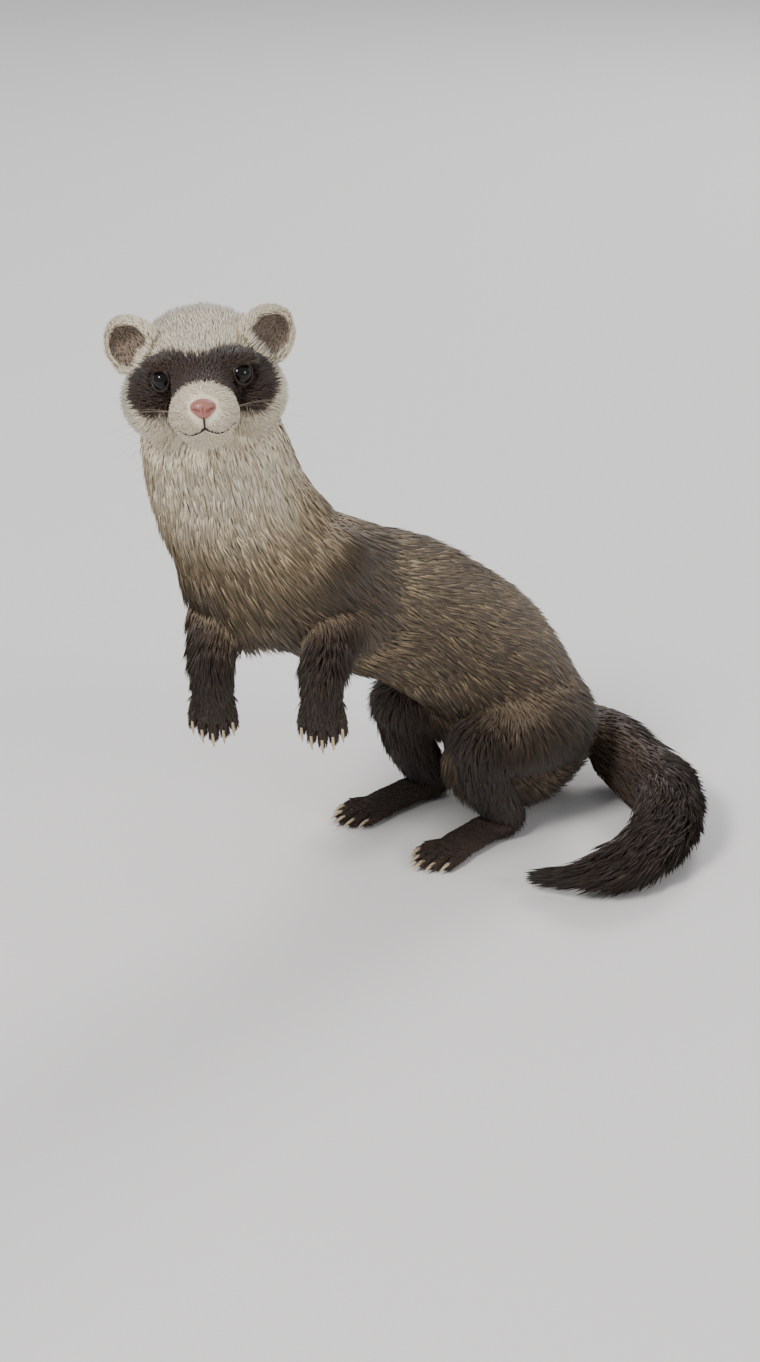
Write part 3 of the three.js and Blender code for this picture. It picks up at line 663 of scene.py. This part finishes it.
# Skin
LOW, HIGH = np.array([-112, -90, -4.0]), np.array([136, 124, 268.0])
points, quads = surface(skin, LOW, HIGH, SKIN_CELL)
roots, tips = markings(points, shares_of(points))
skin_piece = mesh_object("skin", points, quads)
tint_points(skin_piece, blend_colours(roots, tips, np.full(len(points), 0.5)))
skin_piece.data.materials.append(under_fur)
flesh_nodes = [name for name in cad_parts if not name.startswith(("eye", "nose"))]
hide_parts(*flesh_nodes)


# Lips: a line from under the nose down, out and up to the corner on each side
def on_face(x, z, out):
    """A point of the head's own axes moved onto the skin along its length, then out by some millimetres."""
    y = -60.0
    for _ in range(60):
        d = face_skin(from_head([[x, y, z]]))[0]
        y += 0.6 * max(d, 0)
    return from_head([x, y - out, z])


LIP_LINES = []
for side in (1, -1):
    line = []
    for t in np.linspace(0, 1, 16):
        z = -9.6 - 3.0 * math.sin(math.pi * min(1, 1.15 * t) * 0.8) + 2.4 * t * t
        line.append(on_face(side * (0.1 + 11.4 * t), z, 0.3))
    LIP_LINES.append(np.array(line))
LIP_LINES.append(np.array([on_face(0, z, 0.3) for z in np.linspace(-4.6, -9.8, 8)]))


# Coat: tufts of three rings, at the root, part of the way and at the tip
# Each list has a number for each ring
STRIDE = [0, 0.42, 1.0]
RING_WIDTH = np.array([0.75, 1, 0])
TIP_COLOUR = np.array([0, 0.45, 1])
ROOT_SINK = 0.06  # of its length, into the skin
# Guard hairs gather into locks: where, how wide, and how far each tip leans to the middle of its lock
LOCKS = [("trunk", 6, 0.4), ("head", 5, 0.38), ("tail", 8, 0.45), ("leg", 4, 0.3)]
NAPE = 14  # behind this, the head's hair is in locks as well


def lie_of_hair(p, shares):
    """Which way the hair points at each root: back from the nose, along the back and down each limb."""
    way = np.zeros_like(p)
    for share, region in zip(shares.T, REGIONS):
        if region.name == "head":
            here = unit(p - from_head(NOSE_AT + [0, 2, 3])) + 0.35 * (HEAD_TURN @ [0, 1, -0.15])
        else:
            line = region.line
            gap = np.full(len(p), 1e9)
            here = np.zeros_like(p)
            for a, b in zip(line[:-1, :3], line[1:, :3]):
                d = np.linalg.norm(p - (a + b) / 2, axis=1)
                here[d < gap] = unit(b - a)
                gap = np.minimum(gap, d)
        if region.name == "trunk":
            along_back = here
        if "leg" in region.name:
            # The top of a leg is combed with the flank, and its hair turns down the leg below
            turned = smoothstep(tube(line, p)[1], 0.12, 0.5)[:, None]
            here = unit(mix(along_back, here, turned) + [0, 0, -0.55])
        way += share[:, None] * here
    return unit(way)


def scatter(points, quads, share):
    """Seeded roots over the skin, denser where the region's coat is denser, and none at the floor."""
    corner = points[quads]
    middle = corner.mean(1)
    area = np.linalg.norm(np.cross(corner[:, 2] - corner[:, 0], corner[:, 3] - corner[:, 1]), axis=1) / 2
    density = shares_of(middle) @ np.array([region.density for region in REGIONS])
    wanted = area * density * share
    number = (wanted + rng.random(len(wanted))).astype(int)
    number[middle[:, 2] < 1.0] = 0
    on = np.repeat(np.arange(len(quads)), number)
    u, v = rng.random((2, len(on), 1))
    c = corner[on]
    return mix(mix(c[:, 0], c[:, 1], u), mix(c[:, 3], c[:, 2], u), v)


def coat():
    """Every tuft's root, ring middles and radii, normal, ring colours, region, and root in head axes."""
    p = scatter(points, quads, COAT_SHARE)
    shares = shares_of(p)
    normal = unit(slope(skin, p, 0.4))
    way = lie_of_hair(p, shares)
    where = np.array(NAMES)[shares.argmax(1)]
    q = to_head(p)
    kind = lambda key: shares @ np.array([getattr(region, key) for region in REGIONS], float)
    # Short on the muzzle and round the eyes, longer towards the cheeks, the nape and the tops of the legs
    on_head = where == "head"
    head_share = shares[:, NAMES.index("head")]
    back = smoothstep(q[:, 1], -30, 12)
    nape = smoothstep(q[:, 1], 12, 34)
    length = kind("length") * mix(1, mix(0.38, 1.75, back) + 0.5 * nape, head_share)
    leg_share = shares @ np.array(["leg" in name for name in NAMES], float)
    leg_top = np.maximum(leg_share - down_leg(p, shares, 0.1, 0.55), 0)
    length = length * (1 + 0.4 * leg_top)
    length = length * rng.uniform(0.75, 1.2, len(p))
    width = kind("width") * mix(1, mix(0.6, 1.3, back) + 0.4 * nape, head_share)
    width = width * rng.uniform(0.8, 1.2, len(p))
    lift = np.radians(kind("lift") * rng.uniform(0.7, 1.3, len(p)))
    # The tail's hair closes to a point at its end
    tail_end = smoothstep(tube(TAIL_RINGS, p)[1], 0.82, 1) * (where == "tail")
    lift = lift * (1 - 1.3 * tail_end) * (1 - 0.35 * leg_top)
    # Neck hair is shorter than the back's, next to the head
    by_head = smoothstep(np.linalg.norm(q, axis=1), 75, 30) * (where == "trunk")
    length = length * (1 - 0.35 * by_head)
    swirl = np.stack([waves(p, 16, s) for s in (21, 22, 23)], 1) * 0.22 + rng.normal(size=p.shape) * 0.1
    way = way + swirl
    flat = unit(way - normal * np.sum(way * normal, 1)[:, None])
    way = unit(mix(flat, way, tail_end[:, None]))
    # No hair over the eyes, the nose, the lids, the lips or the soles, and little inside the ears
    bare = np.linalg.norm(q - NOSE_AT, axis=1) < 5.2
    for side, word in ((1, "left"), (-1, "right")):
        bare |= np.linalg.norm(q - EYE_AT * [side, 1, 1], axis=1) < EYE_RADIUS + 1.4
        inside = ear_inside(q, side) * (where == "ear_" + word)
        bare |= inside * rng.random(len(p)) > 0.45
        length = length * (1 - 0.3 * inside)
    near_face = np.flatnonzero(on_head & (q[:, 1] < -18))
    lips = to_head(np.concatenate(LIP_LINES))
    bare[near_face] |= np.linalg.norm(q[near_face, None] - lips, axis=2).min(1) < 1.0
    bare |= (p[:, 2] < 3) & (normal[:, 2] < -0.5)
    keep = ~bare
    p, normal, way, length, width, lift, shares, where, q = (
        a[keep] for a in (p, normal, way, length, width, lift, shares, where, q)
    )
    path = [p - ROOT_SINK * length[:, None] * normal]
    here = p
    for start, end in zip(STRIDE[:-1], STRIDE[1:]):
        step = (end - start) * length
        rise = lift * (1.35 - end)
        here = here + step[:, None] * (way * np.cos(rise)[:, None] + normal * np.sin(rise)[:, None])
        path.append(here)
    path = np.stack(path, 1)
    for name, size, pull in LOCKS:
        here = np.flatnonzero((np.char.find(where, name) >= 0) & ((name != "head") | (q[:, 1] > NAPE)))
        cell = np.floor((p[here] + size * rng.normal(0, 0.22, (len(here), 3))) / size).astype(int)
        _, lock = np.unique(cell, axis=0, return_inverse=True)
        lock = lock.ravel()
        for ring, share in ((1, 0.3 * pull), (2, pull)):
            middle = np.stack([np.bincount(lock, path[here, ring, n]) for n in range(3)], 1)
            middle = middle / np.bincount(lock)[:, None]
            path[here, ring] += share * (middle[lock] - path[here, ring])
    path[..., 2] = np.maximum(path[..., 2], HAIR_FLOOR)
    radii = width[:, None] / 2 * RING_WIDTH
    roots, tips = markings(p, shares)
    # Buff tips among the dark ones on the body and the nape
    on_body = np.array([name == "trunk" or "leg" in name for name in NAMES], float)
    sable = (shares @ on_body) - 1.4 * darkness(p, shares)
    sable += shares[:, NAMES.index("head")] * smoothstep(q[:, 1], NAPE, 32)
    buff = 0.5 * np.clip(sable, 0, 1) * (rng.random(len(p)) < 0.3)
    tips = blend_colours(tips, BUFF_TIP, buff)
    shade = rng.uniform(0.85, 1.12, (len(p), 1))
    share = TIP_COLOUR[:, None]
    tint = (roots[:, None] * (1 - share) + tips[:, None] * share) * shade[:, None]
    return p, path, radii, normal, tint, where, q


def unwrap(p, where, q):
    """Each root's place on an unwrap of its region, along it and round it, in the region's own strip."""
    places = np.zeros((len(p), 2))
    present = [region for region in REGIONS if (where == region.name).any()]
    for n, region in enumerate(present):
        here = where == region.name
        if region.name == "head":
            along = np.arccos(np.clip(-unit(q[here])[:, 1], -1, 1))
            around = np.arctan2(q[here][:, 0], q[here][:, 2])
        else:
            line = region.line
            _, along = tube(line, p[here])
            i = np.minimum((along * (len(line) - 1)).astype(int), len(line) - 2)
            ahead = unit(line[i + 1, :3] - line[i, :3])
            out = p[here] - line[i, :3]
            side = unit(np.cross(ahead, [0.3, 0.2, 0.93]))
            around = np.arctan2(np.sum(out * side, 1), np.sum(out * np.cross(side, ahead), 1))
        spread = lambda a: (a - a.min()) / max(np.ptp(a), 1e-6)
        places[here] = np.stack([spread(along), (n + 0.01 + 0.98 * spread(around)) / len(present)], 1)
    return 0.01 + 0.98 * places


PATCH = 0.003  # across each tuft's patch of the unwrap
p, path, radii, normal, tint, where, q = coat()
PIECES = [
    ("coat_neck", "coat", (where == "trunk") & (p[:, 2] > 160)),
    ("coat_chest", "coat", (where == "trunk") & (p[:, 2] <= 160) & (p[:, 2] > 115)),
    ("coat_back", "coat", (where == "trunk") & (p[:, 2] <= 115) & (p[:, 2] > 70)),
    ("coat_rump", "coat", (where == "trunk") & (p[:, 2] <= 70)),
    ("coat_crown", "face_coat", (where == "head") & (q[:, 1] > 4)),
    ("coat_face", "face_coat", (where == "head") & (q[:, 1] <= 4)),
    ("coat_ears", "face_coat", np.char.startswith(where, "ear")),
    ("coat_tail", "dark_coat", where == "tail"),
    ("coat_hind_left", "dark_coat", np.isin(where, ["hind_leg_left", "hind_foot_left"])),
    ("coat_hind_right", "dark_coat", np.isin(where, ["hind_leg_right", "hind_foot_right"])),
    ("coat_fore_left", "dark_coat", np.isin(where, ["foreleg_left", "forepaw_left"])),
    ("coat_fore_right", "dark_coat", np.isin(where, ["foreleg_right", "forepaw_right"])),
]
SIDES, LAST = 3, len(STRIDE) - 1
RING_OF_POINT = np.r_[np.repeat(np.arange(LAST), SIDES), LAST]
# Each of a tuft's points within its patch: rings along it, sides across it
OFFSET = [[mix(-0.5, 0.5, r / LAST), (s - 1) / 2] for r in range(LAST) for s in range(SIDES)]
OFFSET = np.array(OFFSET + [[0.5, 0]])
for name, slot, chosen in PIECES:
    body, faces = spikes(path[chosen], radii[chosen], SIDES, normal[chosen])
    piece = mesh_object(name, body, faces)
    tint_points(piece, tint[chosen][:, RING_OF_POINT].reshape(-1, 3))
    places = unwrap(p[chosen], where[chosen], q[chosen])
    uv_points = (places[:, None] + PATCH * OFFSET[None]).reshape(-1, 2)
    layer = piece.data.uv_layers.new(name="OFBake")
    layer.data.foreach_set("uv", uv_points[faces.ravel()].astype(np.float32).ravel())
    piece.data.materials.append(fur)


# Eyes
def revolved(profile, centre, way, sides=40):
    """A closed form turned about the way it looks: profile is [radius, height] from back to front."""
    way = unit(np.array(way, float))
    side = unit(np.cross(way, [0, 0.2, 1]))
    up = np.cross(side, way)
    angle = 2 * np.pi * np.arange(sides) / sides
    around = np.cos(angle)[:, None] * side + np.sin(angle)[:, None] * up
    rings = [centre + h * way + r * around for r, h in profile[1:-1]]
    points = np.concatenate([[centre + profile[0][1] * way], *rings, [centre + profile[-1][1] * way]])
    faces = []
    last = len(rings) - 1
    for s in range(sides):
        t = (s + 1) % sides
        faces += [(0, 1 + s, 1 + t), (1 + last * sides + s, len(points) - 1, 1 + last * sides + t)]
        for i in range(last):
            a, b = 1 + i * sides, 1 + (i + 1) * sides
            faces += [(a + s, b + s, b + t), (a + s, b + t, a + t)]
    return points, np.array(faces)


LID_RINGS, LID_SIDES = 48, 10
for side, word in ((1, "left"), (-1, "right")):
    way = HEAD_TURN @ unit(np.array([0.6 * side, -0.78, 0.16]))
    centre = from_head(EYE_AT * [side, 1, 1])
    profile = []
    for a in np.linspace(0, 180, 25):
        x, h = math.sin(math.radians(a)), -math.cos(math.radians(a))
        # The cornea stands out a little from the ball
        bulge = 1 + 0.05 * float(smoothstep(np.array(h), 0.72, 0.95))
        profile.append([EYE_RADIUS * x * bulge, EYE_RADIUS * h * bulge])
    eye = mesh_object("eyeball_" + word, *revolved(profile, centre, way))
    eye.data.materials.append(wet_eye)
    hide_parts("eye_" + word)
    # The lids: an almond rim round the eye, thicker above
    across = unit(np.cross(way, HEAD_TURN @ [0, 0, 1.0]))
    upward = np.cross(across, way)
    t = np.linspace(0, 2 * np.pi, LID_RINGS + 1)[:-1]
    almond = 0.84 + 0.16 * np.cos(t) ** 2
    radius = 4.25 * almond
    ring = centre + across * (radius * 1.03 * np.cos(t))[:, None]
    ring = ring + upward * (radius * np.sin(t) + 0.1)[:, None]
    ring = centre + unit(ring + way * 2.0 - centre) * (EYE_RADIUS + 0.2)
    thick = 0.55 + 0.25 * np.maximum(np.sin(t), 0)
    out = unit(ring - centre)
    onward = unit(np.roll(ring, -1, 0) - np.roll(ring, 1, 0))
    cross = np.cross(out, onward)
    angle = 2 * np.pi * np.arange(LID_SIDES) / LID_SIDES
    rim = ring[:, None] + thick[:, None, None] * (
        np.cos(angle)[None, :, None] * out[:, None] + np.sin(angle)[None, :, None] * cross[:, None]
    )
    index = np.arange(LID_RINGS * LID_SIDES).reshape(LID_RINGS, LID_SIDES)
    next_ring, next_side = np.roll(index, -1, 0), np.roll(index, -1, 1)
    quad = np.stack([index, next_ring, np.roll(next_ring, -1, 1), next_side], -1).reshape(-1, 4)
    lids = mesh_object("lids_" + word, rim.reshape(-1, 3), quad)
    lids.data.materials.append(lid_skin)


# Nose: a rounded pad with two comma-shaped nostrils and a groove between them
def nose_form(p):
    q = to_head(p) - NOSE_AT
    d = ellipsoid([0, 0.6, 0.4], [4.7, 3.6, 3.1], q)
    d = blended(d, ellipsoid([0, 0.2, -1.6], [2.6, 2.8, 2.2], q), 1.5)
    for side in (1, -1):
        nostril = ellipsoid([2.0 * side, -3.4, -0.5], [1.25, 1.9, 0.95], q)
        slit = ellipsoid([3.5 * side, -2.4, 0.2], [1.5, 1.5, 0.45], q)
        d = np.maximum(d, -np.minimum(nostril, slit))
    groove = np.maximum(np.abs(q[:, 0]) - 0.22, q[:, 1] + 2.55)
    return np.maximum(d, -np.maximum(groove, q[:, 2] - 1.2))


centre = from_head(NOSE_AT)
nose = mesh_object("nose_pad", *surface(nose_form, centre - 6.5, centre + 6.5, 0.3))
nose.data.materials.append(nose_leather)
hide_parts("nose")


# Lips, whiskers and claws
def swept(name, paths, thickness, sides, finish):
    """Tapered rods along paths, one piece."""
    all_points, all_faces, start = [], [], 0
    for path, thick in zip(paths, thickness):
        body, faces = spikes(np.array(path)[None], np.array(thick)[None], sides)
        all_points.append(body)
        all_faces.append(faces + start)
        start += len(body)
    made = mesh_object(name, np.concatenate(all_points), np.concatenate(all_faces))
    made.data.materials.append(finish)


swept("lips", LIP_LINES, [np.linspace(0.65, 0.35, len(line)) for line in LIP_LINES], 8, lid_skin)

whisker_paths, whisker_sizes = [], []
for side in (1, -1):
    for row in range(4):
        for n in range(4):
            start = on_face(side * (6.5 + 1.3 * n), -3.6 - 1.7 * row, -0.6)
            reach = rng.uniform(20, 34)
            way = unit(np.array([side * (0.85 + 0.06 * n), -0.25 + 0.16 * n, 0.25 - 0.22 * row]))
            t = np.linspace(0, 1, 8)[:, None]
            bend = np.array([0, 0.25, -0.28]) * reach * t**2
            whisker_paths.append(start + (way * reach * t + bend) @ HEAD_TURN.T)
            whisker_sizes.append(np.linspace(0.09, 0.02, 8))
swept("whiskers", whisker_paths, whisker_sizes, 4, whisker_hair)

claw_paths, claw_sizes = [], []
for region in REGIONS:
    foot = getattr(region, "foot", None)
    if foot is None:
        continue
    for f, s, length, radius in foot.toes:
        spread = s * TOE_SPREAD
        t = np.linspace(-0.1, 1, 9)
        toe_end = f + length * 0.94
        line = [foot.place(toe_end + foot.claw * (a - 0.05), s + spread, 0.5 - 2.4 * a * a) for a in t]
        claw_paths.append(np.maximum(np.array(line), [-1e3, -1e3, 0.6]))
        claw_sizes.append(np.interp(t, [-0.1, 0.2, 0.7, 1], [1.0, 1.0, 0.6, 0.05]))
swept("claws", claw_paths, claw_sizes, 10, claw_horn)

# Studio: a pale floor, a broad key light from the upper left, a fill and a light from behind
FAR = 12.0  # metres from the middle of the floor to its sides
floor_mesh = bpy.data.meshes.new("floor")
floor_mesh.from_pydata([(-FAR, -FAR, 0), (FAR, -FAR, 0), (FAR, FAR, 0), (-FAR, FAR, 0)], [], [(0, 1, 2, 3)])
floor = bpy.data.objects.new("floor", floor_mesh)
bpy.context.scene.collection.objects.link(floor)
floor_mesh.materials.append(material("pale_floor", {"Roughness": 0.9}, base=colour("e6e3de")))
floor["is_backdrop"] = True

TARGET = Vector(in_metres(np.array([-3.0, 0, 93.2])))
for name, place, size, power in [
    ("key", (-1.5, -1.7, 2.3), 0.7, 80),
    ("fill", (2.2, -1.5, 1.3), 0.8, 22),
    ("rim", (0.9, 2.1, 1.9), 1.0, 36),
]:
    light = bpy.data.lights.new(name, "AREA")
    light.size, light.energy = size, power
    lamp = bpy.data.objects.new(name, light)
    lamp.location = place
    lamp.rotation_euler = (TARGET - Vector(place)).to_track_quat("-Z", "Y").to_euler()
    bpy.context.scene.collection.objects.link(lamp)
world = bpy.data.worlds.new("studio")
world.use_nodes = True
world.node_tree.nodes["Background"].inputs["Color"].default_value = (0.9, 0.93, 1, 1)
world.node_tree.nodes["Background"].inputs["Strength"].default_value = 0.6
bpy.context.scene.world = world

# Camera: looking down at the animal from the front, at the picture's height and distance
ELEVATION, DISTANCE, FOCAL_PIXELS, PICTURE_HEIGHT = 24, 0.9, 2190, 1362
camera_data = bpy.data.cameras.new("camera")
camera = bpy.data.objects.new("camera", camera_data)
bpy.context.scene.collection.objects.link(camera)
back = Vector((0, -math.cos(math.radians(ELEVATION)), math.sin(math.radians(ELEVATION))))
camera.location = TARGET + back * DISTANCE
camera.rotation_euler = (-back).to_track_quat("-Z", "Y").to_euler()
camera_data.sensor_width = 36
camera_data.lens = 36 * FOCAL_PIXELS / PICTURE_HEIGHT
bpy.context.scene.camera = camera

boxes = {"cad": cad_box, "visual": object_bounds()}
{key: [list(corner) for corner in corners] for key, corners in boxes.items()}
